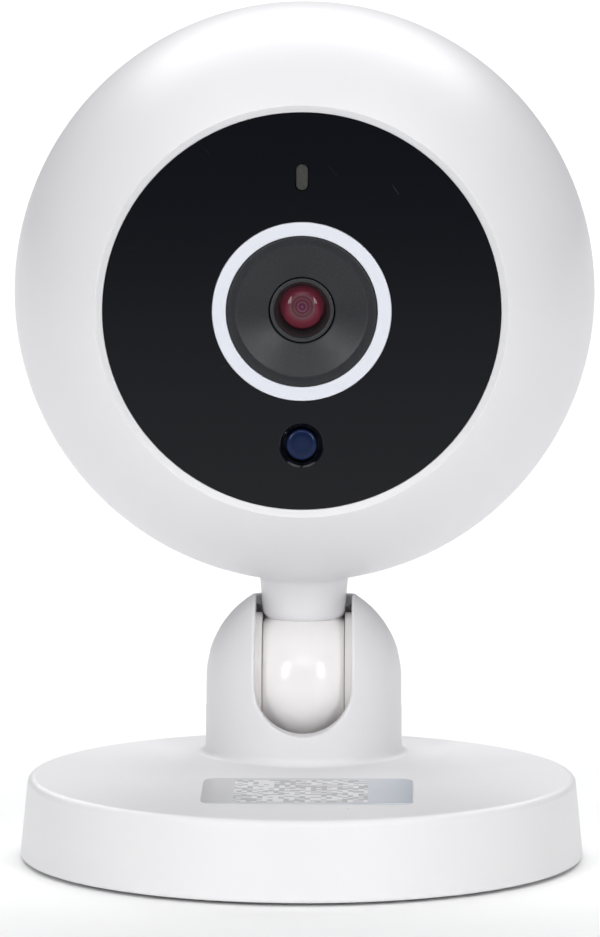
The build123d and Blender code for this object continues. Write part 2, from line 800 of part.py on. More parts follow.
def capacitors():
    can = rod(capacitor_r, main_board_back - capacitor_h, main_board_back)
    can = fillet(can.edges().group_by(Axis.Z)[0], 0.3)
    return at_spots(can, capacitor_spots)


def wifi_antenna():
    """A stamped strip that stands on the top edge of the main board."""
    standing = block(antenna_w, antenna_thick, main_board_back - antenna_h, main_board_back, 0, antenna_up)
    foot = block(3.0, 2.0, main_board_back - antenna_thick, main_board_back, antenna_w / 2 - 1.5, antenna_up - 1.0)
    return standing + foot


def standoffs():
    front = camera_board_z - board_thick
    post = extrude(RegularPolygon(standoff_r, 6), front - main_board_z)
    tube = Pos(0, 0, main_board_z) * post - rod(screw_r + fit_gap, -head_r, head_r)
    return at_spots(tube, post_spots())


def board_screws():
    return Pos(0, 0, main_board_back) * at_spots(screw(post_screw_len), post_spots())


def small_screws():
    """The short screws of the light board, the lens holder, the port board and the speaker bracket."""
    led = Pos(0, 0, led_board_front - led_board_thick) * at_spots(screw(led_screw_len), led_screw_spots())
    holder_front_z = camera_board_z + holder_ear_thick
    holder = at_spots(Pos(0, 0, holder_front_z) * turned(screw(holder_ear_thick + board_thick)), holder_spots())
    ledge = Rot(-90, 0, 0) * screw(ledge_high - 0.2)
    port = [Pos(x, under_board, port_screw_z) * ledge for x in (-port_screw_x, port_screw_x)]
    bracket = at_spots(Pos(0, 0, bracket_back() - bracket_thick) * screw(bracket_screw_len), bracket_spots())
    return HEAD * (led + holder) + PORT * (Part() + port) + SPEAKER * bracket


def flex_ends():
    """The two sockets of the flat cable between the boards, on their facing sides."""
    front = camera_board_z - board_thick
    w, h, thick = flex_socket
    return (w, h), (front - thick, front), (main_board_z, main_board_z + thick)


def flex_sockets():
    (w, h), upper, lower = flex_ends()
    return block(w, h, *upper, 0, flex_socket_up) + block(w, h, *lower, 0, flex_socket_up)


def flex_cable():
    (w, h), upper, lower = flex_ends()
    edge = flex_socket_up - h / 2
    z0, z1 = sum(upper) / 2, sum(lower) / 2
    return ribbon([(z0, edge), (z0, edge - flex_loop), (z1, edge - flex_loop), (z1, edge)], flex_bend)


# ---- Port panel ----------------------------------------------------------------------------------------------
def port_panel():
    w, h = port_w + 2 * port_flange_over, port_h + 2 * port_flange_over
    panel = block(port_w, port_h, port_plate_back, port_face, corner=port_corner)
    panel += block(w, h, port_flange_back, port_plate_back, corner=port_corner)
    ledge_w = ledge_out - ledge_in
    for side in (-1, 1):
        x = side * (ledge_in + ledge_w / 2)
        ledge = block(ledge_w, ledge_high, port_flange_back - ledge_len, port_flange_back, x,
                      port_board_top + ledge_high / 2)
        panel += ledge
        hole = Rot(-90, 0, 0) * rod(screw_r + screw_gap, -1, ledge_high + port_board_thick)
        panel -= Pos(side * port_screw_x, port_board_top, port_screw_z) * hole
    panel -= block(usb_w + 4 * fit_gap, usb_h + 4 * fit_gap, 0, head_r, 0, row_v, 0.6)
    panel -= block(card_slot_w, card_slot_h, 0, head_r, 0, card_v, 0.4)
    panel -= rod(button_r + 2 * run_gap, 0, head_r, button_x, row_v)
    return panel - rod(mic_hole_r, 0, head_r, -button_x, row_v)


def port_board():
    length = port_board_outer - port_board_inner
    board = Pos(0, under_board + port_board_thick / 2, port_board_inner + length / 2) * Box(
        port_board_w, port_board_thick, length)
    hole = Rot(-90, 0, 0) * rod(screw_r + fit_gap, -2, 2)
    for side in (-1, 1):
        board -= Pos(side * port_screw_x, under_board, port_screw_z) * hole
    button_room = port_board_outer - button_flange - button_travel - fit_gap
    return board - rod(button_flange_r + fit_gap, button_room, head_r, button_x, row_v)


def usb_socket():
    front = port_face - usb_sink
    case = block(usb_w, usb_h, front - usb_len, front, 0, row_v, 0.5)
    case -= block(usb_w - 0.6, usb_h - 0.9, front - usb_len + 0.8, head_r, 0, row_v, 0.3)
    return case + block(3.7, 0.6, front - usb_len + 0.8, front - 0.8, 0, row_v + 0.35)


def card_socket():
    case = block(card_w, card_h, port_board_outer - card_len, port_board_outer, 0, card_v)
    return case - block(card_slot_w - 0.8, card_slot_h - 0.3, port_board_outer - card_len + 2, head_r, 0, card_v)


def reset_button():
    inner = port_flange_back - fit_gap
    button = rod(button_r, inner - button_flange, port_face + button_proud)
    button = fillet(button.edges().group_by(Axis.Z)[-1], 0.25)
    button += rod(button_flange_r, inner - button_flange, inner)
    button += rod(plunger_r, inner - button_flange - plunger_len, inner)
    return Pos(button_x, row_v) * button


def reset_switch():
    front = port_flange_back - fit_gap - button_flange - button_travel - 2 * fit_gap
    w, h, depth = switch_size
    body = block(w, h, front - depth, front, button_x, row_v)
    bottom = port_flange_back - button_flange - plunger_len - button_travel - 4 * fit_gap
    return body - rod(plunger_r + 2 * run_gap, bottom, head_r, button_x, row_v)


def microphone():
    w, h, thick = mic_size
    return block(w, h, port_board_outer - thick, port_board_outer, -button_x, under_board - h / 2, 0.2)


# ---- Speaker ---------------------------------------------------------------------------------------------------
def speaker():
    shoulder = speaker_front - speaker_rim
    frame = rod(speaker_r, shoulder, speaker_front) + rod(speaker_magnet_r, speaker_front - speaker_depth, shoulder)
    return frame - frustum(speaker_magnet_r - 2, gasket_in_r, shoulder + 0.3, speaker_front)


def speaker_cone():
    shoulder = speaker_front - speaker_rim
    low = shoulder + 0.4
    cone = frustum(speaker_magnet_r - 2, gasket_in_r - 0.15, low, speaker_front - 0.05)
    cone -= frustum(speaker_magnet_r - 2, gasket_in_r - 0.15, low + 0.35, speaker_front + 0.3)
    return cone + Pos(0, 0, low) * domed_disc(speaker_magnet_r - 2.6, 0.05, 0.9)


def speaker_gasket():
    return pipe(speaker_r, gasket_in_r, speaker_front, speaker_front + gasket_thick)


def speaker_bracket():
    back = bracket_back()
    plate = rod(speaker_r, back - bracket_thick, back)
    plate += block(2 * bracket_x, 2 * bracket_boss_r, back - bracket_thick, back)
    plate += at_spots(rod(bracket_boss_r, back - bracket_thick, back), bracket_spots())
    plate -= rod(speaker_magnet_r + fit_gap, 0, head_r)
    return plate - at_spots(rod(screw_r + fit_gap, 0, head_r), bracket_spots())


# ---- Every sub-part, with the place in which it is drawn ----------------------------------------------------------
in_world = [base_cover, base_label, pivot_screw, pivot_nut, pivot_washers, pivot_caps, ballast_plate,
            bottom_plate, bottom_screws, foot_pad, tilt_knuckle, stem_spring, stem_washer, stem_screw,
            front_shell, rear_shell, shell_screws, screw_caps, small_screws]
in_head = [face_panel, light_ring, lens_hood, status_light_guide, light_sensor, lens_barrel, front_lens, rear_lens,
           lens_retainer, lens_spacer, lens_holder, ircut_plate, ircut_coil, ircut_slide, ircut_filters,
           camera_board, image_sensor, ir_led_board, ir_leds, indicator_leds, main_board, processor,
           heat_spreader, wifi_module, capacitors, wifi_antenna, standoffs, board_screws, flex_sockets,
           flex_cable]
in_port = [port_panel, port_board, usb_socket, card_socket, reset_button, reset_switch, microphone]
in_speaker = [speaker, speaker_cone, speaker_gasket, speaker_bracket]

os.makedirs("parts", exist_ok=True)
for place, makers in ((STAND, in_world), (HEAD, in_head), (PORT, in_port), (SPEAKER, in_speaker)):
    for maker in makers:
        export_step(place * maker(), "parts/" + maker.__name__ + ".step")
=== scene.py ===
# %% [markdown]
# # A home security camera
# The camera is a ball-shaped head on a short neck. The neck turns on a knuckle that tilts between
# the cheeks of a domed column, and the column grows out of a flat round base. The engineering model
# gives every size and place. This notebook gives it its light, its finishes and the pieces whose
# soft edges and curves are better made with Blender's own modelling tools.

# %% Load the engineering model
import json
from math import asin, acos, cos, degrees, pi, radians, sin, sqrt

import bpy
from mathutils import Matrix, Vector


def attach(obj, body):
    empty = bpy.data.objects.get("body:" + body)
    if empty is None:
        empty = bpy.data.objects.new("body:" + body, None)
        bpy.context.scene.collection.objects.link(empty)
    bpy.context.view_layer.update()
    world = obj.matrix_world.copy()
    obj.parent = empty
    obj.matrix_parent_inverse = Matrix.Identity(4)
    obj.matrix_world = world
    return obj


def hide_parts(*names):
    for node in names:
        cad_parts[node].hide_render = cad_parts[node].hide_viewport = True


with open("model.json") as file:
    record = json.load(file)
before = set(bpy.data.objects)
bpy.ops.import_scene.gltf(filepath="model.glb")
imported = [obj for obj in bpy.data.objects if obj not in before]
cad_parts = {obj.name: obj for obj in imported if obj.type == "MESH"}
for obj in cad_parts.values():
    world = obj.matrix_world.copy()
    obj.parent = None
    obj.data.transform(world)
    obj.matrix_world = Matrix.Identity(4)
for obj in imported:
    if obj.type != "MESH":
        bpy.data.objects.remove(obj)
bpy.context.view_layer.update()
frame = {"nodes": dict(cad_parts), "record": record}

mm = 0.001

# %% [markdown]
# ## Camera
# A product picture of a small thing is taken from far away with a long lens, so that the base and
# the head keep their real proportions. The camera stands 0.81 m in front of the stand's centre, a
# little above the head, and looks down by seven degrees. It stands nearly a degree to the right of
# the middle and leans by a tenth of a degree, as a hand-set tripod does. The three turns are applied
# in the order X, Y, Z: pitch, lean and heading. A small sideways shift then centres the head.

# %% Place the camera
bpy.ops.object.select_all(action="DESELECT")
heading, lean, look_down = radians(0.8), radians(-0.1), radians(7.04)
camera_reach, camera_height = 0.8126, 0.14374
bpy.ops.object.camera_add(location=(camera_reach * sin(heading), -camera_reach * cos(heading), camera_height))
camera = bpy.context.object
camera.name = "bench_camera"
camera.rotation_euler = (pi / 2 - look_down, lean, heading)
camera.data.lens = 285.3
camera.data.sensor_width = 36
camera.data.shift_x = -0.0041
camera.data.clip_start, camera.data.clip_end = 0.05, 20
bpy.context.scene.camera = camera
print("camera", tuple(round(v, 4) for v in camera.location))

# %% [markdown]
# ## Floor and light
# White plastic on white paper needs light from all round, or its edges vanish. Two soft boxes hang
# over the head, one to each side, two narrow tall ones stand in front at the left and right, and a
# wide weak one fills the middle. A last lamp lights only the paper behind, so that it burns out to
# white. The black face is a mirror for whatever is in front of it, so the lamps near the camera have
# grids, which narrow their light and keep the floor and the room in front dim: a mirror that sees a
# dark room looks black.

# %% Lay the floor
floor_front, floor_back, floor_side = -4.0, 5.0, 8.0
bpy.ops.object.select_all(action="DESELECT")
bpy.ops.mesh.primitive_plane_add(size=1, location=(0, (floor_front + floor_back) / 2, 0))
floor = bpy.context.object
floor.name = "paper_floor"
floor.scale = (floor_side, floor_back - floor_front, 1)
bpy.ops.object.transform_apply(location=True, rotation=True, scale=True)
paper = bpy.data.materials.new("floor_paper")
paper.use_nodes = True
nodes, links = paper.node_tree.nodes, paper.node_tree.links
surface = nodes["Principled BSDF"]
surface.inputs["Roughness"].default_value = 0.7
spot = nodes.new("ShaderNodeTexCoord")
fibres = nodes.new("ShaderNodeTexNoise")
fibres.inputs["Scale"].default_value = 110  # mottling about 9 mm across
paper_tone = nodes.new("ShaderNodeValToRGB")
for stop, grey in zip(paper_tone.color_ramp.elements, (0.945, 0.965)):
    stop.color = (grey, grey, grey, 1)
links.new(spot.outputs["Object"], fibres.inputs["Vector"])
links.new(fibres.outputs["Fac"], paper_tone.inputs["Fac"])
links.new(paper_tone.outputs["Color"], surface.inputs["Base Color"])
floor.data.materials.append(paper)
print("floor", floor_side, "by", floor_back - floor_front, "m")


# %% Hang the lamps
def soft_box(name, place, aim, width, height, power, spread=180):
    """An area lamp at place that shines towards aim; a grid on it narrows the spread, in degrees."""
    bpy.ops.object.select_all(action="DESELECT")
    bpy.ops.object.light_add(type="AREA", location=place)
    lamp = bpy.context.object
    lamp.name = name
    lamp.data.shape = "RECTANGLE"
    lamp.data.size, lamp.data.size_y = width, height
    lamp.data.energy = power
    lamp.data.spread = radians(spread)
    lamp.rotation_mode = "QUATERNION"
    lamp.rotation_quaternion = (Vector(aim) - Vector(place)).to_track_quat("-Z", "Y")
    return lamp


head_middle = (0, 0.0164, 0.0614)
for side, sign in (("left", -1), ("right", 1)):
    soft_box("overhead_" + side, (sign * 0.50, -0.22, 1.20), (0, 0.15, 0), 0.7, 0.8, 0.84, 75)
    soft_box("front_" + side, (sign * 0.62, -1.06, 0.44), head_middle, 0.16, 0.55, 0.52, 60)
soft_box("back_wash", (0, 2.2, 1.9), (0, 2.4, 0), 3.2, 2.0, 92)
soft_box("front_fill", (0, -1.3, 1.0), head_middle, 1.4, 0.5, 0.66, 60)

# %% Set the room and the picture's tone
room = bpy.data.worlds.new("room")
bpy.context.scene.world = room
room.use_nodes = True
backdrop = room.node_tree.nodes["Background"]
backdrop.inputs["Color"].default_value = (0.93, 0.96, 1.0, 1)
backdrop.inputs["Strength"].default_value = 0.11
bpy.context.scene.view_settings.view_transform = "Standard"
print("room light", backdrop.inputs["Strength"].default_value)

# %% [markdown]
# ## Shader sums
# A procedural finish is arithmetic on positions: distances, masks and noise. Wiring dozens of Math
# nodes by hand is slow to read, so one small class stands for an output socket and lets Python's
# operators add the Math nodes. Its method node adds any other kind of node.


# %% The class for a shader's wires
class Wire:
    """The output of a shader node, on which Python's operators work."""

    def __init__(self, tree, socket):
        self.tree, self.socket = tree, socket

    def node(self, kind, settings=None, *values, out=0, **named):
        """Adds a node, sets it up, gives its sockets their values or wires, and returns an output."""
        made = self.tree.nodes.new("ShaderNode" + kind)
        for key, value in (settings or {}).items():
            if key == "stops":
                ramp = made.color_ramp.elements
                while len(ramp) < len(value):
                    ramp.new(1)
                for stop, (place, tone) in zip(ramp, value):
                    stop.position, stop.color = place, (*tone, 1)
            else:
                setattr(made, key, value)
        pairs = [(i, v) for i, v in enumerate(values) if v is not None]
        for key, value in pairs + list(named.items()):
            plug(self.tree, made.inputs[key], value)
        return Wire(self.tree, made.outputs[out])

    def sums(self, operation, *values):
        return self.node("Math", {"operation": operation}, *values)

    def __add__(self, other): return self.sums("ADD", self, other)
    def __radd__(self, other): return self.sums("ADD", other, self)
    def __sub__(self, other): return self.sums("SUBTRACT", self, other)
    def __rsub__(self, other): return self.sums("SUBTRACT", other, self)
    def __mul__(self, other): return self.sums("MULTIPLY", self, other)
    def __rmul__(self, other): return self.sums("MULTIPLY", other, self)
    def __truediv__(self, other): return self.sums("DIVIDE", self, other)
    def __gt__(self, other): return self.sums("GREATER_THAN", self, other)
    def __lt__(self, other): return self.sums("LESS_THAN", self, other)
    def __abs__(self): return self.sums("ABSOLUTE", self)
    def __pow__(self, other): return self.sums("POWER", self, other)


def plug(tree, socket, value):
    """Links a wire to a socket, or writes a number or colour on it."""
    if isinstance(value, Wire):
        tree.links.new(value.socket, socket)
    elif isinstance(value, tuple) and socket.type == "RGBA":
        socket.default_value = (*value, 1)
    else:
        socket.default_value = value


print("operators ready on", Wire.__name__)


# %% [markdown]
# ## The start of every finish
# Each finish is a Principled shader. Numbers that are the same all over are written on its sockets,
# and what varies is wired in. Positions come from Object coordinates: the pieces sit at the origin
# unscaled, so these are metres on the real thing, and a grain of a quarter of a millimetre is a
# noise of scale 4000.

# %% Start a finish and read positions
def finish(name, **constants):
    """A new material, its shader with these constants, and the place on the piece as a wire."""
    made = bpy.data.materials.new(name)
    made.use_nodes = True
    tree = made.node_tree
    shader = tree.nodes["Principled BSDF"]
    for key, value in constants.items():
        plug(tree, shader.inputs[key.replace("_", " ")], value)
    place = Wire(tree, tree.nodes.new("ShaderNodeTexCoord").outputs["Object"])
    return made, shader, place


def wear(shader, place, **wires):
    """Wires varying values to the shader's sockets."""
    for key, value in wires.items():
        plug(place.tree, shader.inputs[key.replace("_", " ")], value)


def noise(place, size, detail=2.0, **named):
    """Soft noise between 0 and 1 whose lumps are about size millimetres."""
    return place.node("TexNoise", None, Vector=place, Scale=1 / (size * mm), Detail=detail, **named)


def flecks(place, size, share):
    """A mask of small round specks: their spacing in millimetres, and the share of cells with one."""
    speck_r = 0.055  # as a share of the spacing
    cells = {"Vector": place, "Scale": 1 / (size * mm)}
    distance = place.node("TexVoronoi", {"feature": "F1"}, **cells)
    colour = place.node("TexVoronoi", {"feature": "F1"}, out="Color", **cells)
    chosen = colour.node("SeparateColor", None, colour) > 1 - share
    return (distance < speck_r) * chosen


def tint(mask, low, high):
    """The colour or wire low where the mask is 0, and high where it is 1."""
    return mask.node("Mix", {"data_type": "RGBA"}, mask, None, None, None, None, None, low, high, out=2)


def bump(height, depth, strength=1.0):
    """A bent normal from a height wire; depth is in millimetres."""
    return height.node("Bump", None, Height=height, Distance=depth * mm, Strength=strength)


print("finish helpers ready")

# %% [markdown]
# ## White plastic
# The shells are moulded in white plastic with a very fine spark-eroded grain, which scatters
# highlights into soft glows. A flat white would look like paper, so the colour drifts by a percent
# or two over centimetres, as moulded resin does, the gloss varies with it, and a few specks of dust
# lie on the surface. The knuckle is the same resin, polished.

# %% Make the white finishes
def white_plastic(name, colour, rough, grain_depth, dust, shade=0.965):
    """Moulded plastic: tone drift, uneven gloss, dust specks and fine grain."""
    made, shader, place = finish(name, IOR=1.48)
    drift = noise(place, 14, 3)
    speck = flecks(place, 5.5, dust)
    dim = tuple(c * shade for c in colour)
    clean = tint(drift, dim, colour)
    grime = tint(speck * 0.55, clean, (0.33, 0.31, 0.29))
    gloss = noise(place, 3.5, 2) * 0.07 + (rough - 0.035) + speck * 0.2
    grain = noise(place, 0.28, 2) * 0.8 + noise(place, 1.6, 1) * 0.2
    wear(shader, place, Base_Color=grime, Roughness=gloss, Normal=bump(grain, grain_depth, 0.35))
    return made


finishes = {
    "shell_white": white_plastic("shell_white", (0.785, 0.78, 0.80), 0.40, 0.012, 0.10),
    "stand_white": white_plastic("stand_white", (0.805, 0.80, 0.81), 0.44, 0.014, 0.08),
    "cap_white": white_plastic("cap_white", (0.78, 0.78, 0.795), 0.42, 0.012, 0.03),
    "plate_white": white_plastic("plate_white", (0.72, 0.72, 0.73), 0.5, 0.02, 0.1),
    "ball_gloss": white_plastic("ball_gloss", (0.91, 0.89, 0.885), 0.19, 0.002, 0.03, 0.98),
    "acetal": white_plastic("acetal", (0.90, 0.865, 0.85), 0.35, 0.006, 0.02),
    "ring_white": white_plastic("ring_white", (0.68, 0.70, 0.76), 0.46, 0.006, 0.02, 0.985),
    "panel_grey": white_plastic("panel_grey", (0.50, 0.51, 0.53), 0.45, 0.016, 0.1),
    "button_grey": white_plastic("button_grey", (0.32, 0.33, 0.35), 0.42, 0.01, 0.05),
    "socket_cream": white_plastic("socket_cream", (0.74, 0.68, 0.54), 0.45, 0.008, 0.02),
}
print("white finishes", len(finishes))

# %% [markdown]
# ## The black face
# The face is a sheet of dark tinted acrylic, so smooth that it mirrors the room. What tells the eye
# it is a real surface is what lies on it: specks of dust, a few hairline scratches, and a faint
# greasy film that blurs the mirror in patches. The scratches are very long, thin noise: noise
# stretched along one direction and cut at its crest, shown only inside larger blotches.

# %% Make the face finish
def hairlines(place, angle, spacing, width):
    """A mask of thin straight scratches across the x-z plane, at an angle in degrees."""
    stretch = 30
    turned = place.node("VectorRotate", {"rotation_type": "Y_AXIS"}, Vector=place, Angle=radians(angle))
    drawn = place.node("Mapping", {"vector_type": "POINT"}, Vector=turned,
                       Scale=(1 / (spacing * mm), 0, 1 / (spacing * stretch * mm)))
    crest = abs(place.node("TexNoise", None, Vector=drawn, Scale=1.0, Detail=0.0) - 0.5)
    blotch = noise(place, 4.0, 1) > 0.70
    return (crest < width) * blotch


face, shader, place = finish("face_black", IOR=1.33)
dust = flecks(place, 1.7, 0.05)
scratch = hairlines(place, 38, 2.6, 0.004) + hairlines(place, -57, 3.4, 0.003)
grease = noise(place, 9, 3)
mark = dust * 0.4 + scratch * 0.05
wear(shader, place,
     Base_Color=tint(mark, (0.0018, 0.0022, 0.0045), (0.30, 0.31, 0.32)),
     Roughness=grease * 0.06 + 0.015 + mark * 0.4,
     Normal=bump(noise(place, 22, 1), 0.02, 0.25))
finishes["face_black"] = face
print("face finish made")

# %% [markdown]
# ## Matt blacks
# The funnel round the lens is there to swallow stray light, so it has a coarse etched grain and no
# gloss to speak of. The barrel, the lens holder and the speaker's frame are the same kind of
# moulding in plainer blacks.


# %% Make the black finishes
def black_plastic(name, colour, rough, grain_size, grain_depth):
    """Etched dark plastic: a painted highlight on the crests of its grain, with a little dust."""
    made, shader, place = finish(name, IOR=1.47)
    grain = noise(place, grain_size, 3)
    speck = flecks(place, 3.4, 0.06)
    crest = grain.node("ValToRGB", {"stops": [(0.45, (0, 0, 0)), (0.75, (1, 1, 1))]}, grain)
    level = crest.node("RGBToBW", None, crest)
    # Painted highlight: the grain's crests get a lighter copy of the colour.
    crest_highlight = tint(level, colour, tuple(c * 1.5 + 0.004 for c in colour))
    dusty = tint(speck * 0.8, crest_highlight, (0.45, 0.45, 0.46))
    wear(shader, place, Base_Color=dusty, Roughness=noise(place, 2, 2) * 0.10 + (rough - 0.05),
         Normal=bump(grain, grain_depth, 0.6))
    return made


finishes.update({
    "hood_black": black_plastic("hood_black", (0.005, 0.006, 0.009), 0.40, 0.22, 0.010),
    "barrel_black": black_plastic("barrel_black", (0.016, 0.018, 0.020), 0.40, 0.12, 0.008),
    "holder_black": black_plastic("holder_black", (0.020, 0.020, 0.021), 0.5, 0.3, 0.02),
    "speaker_frame": black_plastic("speaker_frame", (0.03, 0.03, 0.032), 0.45, 0.3, 0.02),
    "foot_rubber": black_plastic("foot_rubber", (0.045, 0.045, 0.047), 0.75, 0.5, 0.05),
    "foam_black": black_plastic("foam_black", (0.03, 0.03, 0.032), 0.95, 0.35, 0.12),
    "chip_black": black_plastic("chip_black", (0.022, 0.022, 0.024), 0.42, 0.12, 0.008),
    "guide_grey": black_plastic("guide_grey", (0.040, 0.040, 0.038), 0.28, 0.3, 0.004),
})
print("finishes so far", len(finishes))

# %% [markdown]
# ## Metals, boards and small parts
# None of these show while the head is closed, but they do when a shell is lifted off, so each gets
# the surface that tells what it is: turned or rolled metal has fine lines, a circuit board has
# tracks under its green varnish, a coil has its turns of wire.


# %% Make the metal finishes
def metal(name, colour, rough, line=0.12):
    """Rolled or plated metal: stretched fine lines, tarnish in patches."""
    made, shader, place = finish(name, Metallic=1.0)
    stretched = place.node("Mapping", {"vector_type": "POINT"}, Vector=place, Scale=(0.08, 1.0, 1.0))
    lines = noise(stretched, line, 3)
    patch = noise(place, 3.0, 3)
    wear(shader, place, Base_Color=tint(patch, tuple(c * 0.8 for c in colour), colour),
         Roughness=lines * 0.18 + patch * 0.08 + (rough - 0.13), Normal=bump(lines, 0.004, 0.4))
    return made


finishes.update({
    "spring_steel": metal("spring_steel", (0.38, 0.38, 0.40), 0.32),
    "zinc_steel": metal("zinc_steel", (0.62, 0.64, 0.68), 0.30),
    "screw_steel": metal("screw_steel", (0.50, 0.50, 0.52), 0.28),
    "ballast_steel": metal("ballast_steel", (0.34, 0.33, 0.32), 0.48, 0.3),
    "heat_aluminium": metal("heat_aluminium", (0.70, 0.71, 0.73), 0.38, 0.2),
    "shield_can": metal("shield_can", (0.68, 0.69, 0.70), 0.30),
    "capacitor_can": metal("capacitor_can", (0.66, 0.67, 0.70), 0.25),
    "brass_post": metal("brass_post", (0.72, 0.53, 0.26), 0.28),
    "socket_steel": metal("socket_steel", (0.66, 0.66, 0.68), 0.24),
})
print("finishes so far", len(finishes))


# %% Make the boards, the coil, the cable and the paper cone
def board(name, varnish, track, pitch):
    """A circuit board: tracks one pitch wide show as lighter, raised lines under the varnish."""
    made, shader, place = finish(name, IOR=1.5)
    cell = (pitch * 4 * mm, pitch * mm, pitch * mm)
    cells = place.node("VectorMath", {"operation": "SNAP"}, place, cell)
    runs = place.node("TexWhiteNoise", {"noise_dimensions": "3D"}, cells) > 0.62
    wear(shader, place, Base_Color=tint(runs, varnish, track),
         Roughness=noise(place, 2.5, 2) * 0.1 + 0.25, Normal=bump(runs, 0.03, 0.5))
    return made


def bands(place, width, distortion=0.0):
    """Soft stripes across X; they repeat every 2 pi widths, and the width is in millimetres."""
    return place.node("TexWave", {"wave_type": "BANDS", "bands_direction": "X"}, Vector=place,
                      Scale=1 / (20 * width * mm), Distortion=distortion)


coil, shader, place = finish("coil_copper", Metallic=1.0)
# Painted shade: the copper darkens in the groove between each two turns; the same bands give the turns their
# relief.
turns_and_groove_shade = bands(place, 0.14, 0.3)
wear(shader, place, Base_Color=tint(turns_and_groove_shade, (0.35, 0.12, 0.05), (0.83, 0.38, 0.20)),
     Roughness=noise(place, 1, 2) * 0.1 + 0.25, Normal=bump(turns_and_groove_shade, 0.05, 0.8))

amber, shader, place = finish("flex_amber", IOR=1.6)
stripes = bands(place, 0.5)
wear(shader, place, Base_Color=tint(stripes, (0.42, 0.17, 0.03), (0.62, 0.33, 0.08)),
     Roughness=noise(place, 2, 2) * 0.1 + 0.22, Normal=bump(stripes, 0.01, 0.5))

cone_paper, shader, place = finish("speaker_paper", IOR=1.4)
fibre = noise(place, 0.25, 5)
wear(shader, place, Base_Color=tint(fibre, (0.03, 0.03, 0.03), (0.09, 0.085, 0.08)),
     Roughness=fibre * 0.1 + 0.8, Normal=bump(fibre, 0.05, 0.8))

clear, shader, place = finish("led_clear", IOR=1.5, Coat_Weight=0.6)
die = noise(place, 1.2, 2)
wear(shader, place, Base_Color=tint(die, (0.50, 0.47, 0.36), (0.78, 0.75, 0.62)),
     Roughness=die * 0.08 + 0.08)

finishes.update({
    "board_green": board("board_green", (0.012, 0.085, 0.035), (0.03, 0.17, 0.075), 0.35),
    "board_black": board("board_black", (0.010, 0.011, 0.014), (0.022, 0.024, 0.03), 0.35),
    "coil_copper": coil, "flex_amber": amber, "speaker_paper": cone_paper, "led_clear": clear,
})
print("finishes so far", len(finishes))

# %% [markdown]
# ## The lens and the light sensor
# Looking into a small fixed lens one sees a deep red disc: the infrared filter behind the glass.
# In front of it each glass surface adds a pale ring, its own reflection of the bright room, so a
# set of concentric pink rings floats in the middle. Rings are made from the distance to the lens
# axis, read through a colour ramp, on the polished front of the outer element.

# %% Make the glass finishes
head_z = 61.4
sensor_drop = 14.7


def from_axis(place, height):
    """Distance in millimetres from a line along Y at x = 0 and a height in millimetres."""
    axes = place.node("SeparateXYZ", None, place)
    across = axes * (1 / mm)
    up = place.node("SeparateXYZ", None, place, out="Z") * (1 / mm) - height
    return (across * across + up * up) ** 0.5


ring_lift, ring_span, eye_span = 0.2, 2.6, 1.9
lens, shader, place = finish("lens_glass", IOR=1.22)
radius = from_axis(place, head_z + ring_lift)
stops = [(0.0, (0.24, 0.10, 0.15)), (0.05, (0.10, 0.03, 0.075)), (0.14, (0.075, 0.018, 0.035)),
         (0.19, (0.16, 0.065, 0.09)), (0.25, (0.075, 0.017, 0.033)), (0.34, (0.125, 0.048, 0.062)),
         (0.42, (0.09, 0.027, 0.038)), (0.50, (0.15, 0.065, 0.08)), (0.56, (0.125, 0.042, 0.055)),
         (0.60, (0.165, 0.030, 0.048)), (0.88, (0.145, 0.024, 0.040)), (0.95, (0.016, 0.004, 0.006))]
wear(shader, place, Base_Color=radius.node("ValToRGB", {"stops": stops}, radius / ring_span),
     Roughness=noise(place, 1.5, 2) * 0.04 + 0.03)
finishes["lens_glass"] = lens

filters, shader, place = finish("filter_glass", IOR=1.52, Coat_Weight=1.0)
wear(shader, place, Base_Color=tint(noise(place, 2, 1), (0.16, 0.01, 0.03), (0.24, 0.03, 0.07)),
     Roughness=noise(place, 1, 2) * 0.04 + 0.03)
finishes["filter_glass"] = filters

sensor, shader, place = finish("sensor_blue", IOR=1.25)
radius = from_axis(place, head_z - sensor_drop)
stops = [(0.0, (0.006, 0.016, 0.060)), (0.55, (0.005, 0.012, 0.042)),
         (0.8, (0.008, 0.018, 0.065)), (1.0, (0.002, 0.003, 0.008))]
deep = radius.node("ValToRGB", {"stops": stops}, radius / eye_span)
wear(shader, place, Base_Color=deep, Roughness=noise(place, 1.2, 2) * 0.08 + 0.12)
finishes["sensor_blue"] = sensor
print("glass finishes made")

# %% [markdown]
# ## The rating film
# A silver film is stuck to the front of the base. Its printing is replaced by a meaningless pattern
# of square cells: each cell's corner is found by snapping positions to a grid, and white noise
# decides whether that cell is printed. Nothing in it can be read or scanned.

# %% Make the film finish
cell = 0.58
code_left, code_right, code_near, code_far = -7.2, 7.4, -19.0, -4.6
film, shader, place = finish("label_silver", IOR=1.5)
axes = place.node("SeparateXYZ", None, place) * (1 / mm)
depth = place.node("SeparateXYZ", None, place, out="Y") * (1 / mm)
inside = (axes > code_left) * (axes < code_right) * (depth > code_near) * (depth < code_far)
grid = place.node("VectorMath", {"operation": "SNAP"}, place, (cell * mm, cell * mm, 1.0))
printed = (place.node("TexWhiteNoise", {"noise_dimensions": "2D"}, grid) > 0.50) * inside
# Painted reflection: the silver ground runs from grey to darker to bluish across X, a sheen painted into the
# film's colour.
stops = [(0.0, (0.64, 0.64, 0.66)), (0.6, (0.60, 0.605, 0.62)), (1.0, (0.62, 0.66, 0.72))]
painted_sheen = axes.node("ValToRGB", {"stops": stops}, axes * 0.043 + 0.5)
ground = tint(inside * 0.7, painted_sheen, (0.83, 0.83, 0.84))
printing = tint(printed * 0.8, ground, (0.36, 0.36, 0.38))
wear(shader, place, Base_Color=printing, Metallic=0.35 - inside * 0.3,
     Roughness=noise(place, 4, 3) * 0.1 + 0.32, Normal=bump(noise(place, 6, 2), 0.02, 0.4))
finishes["label_silver"] = film
print("film finish made, cell", cell, "mm")

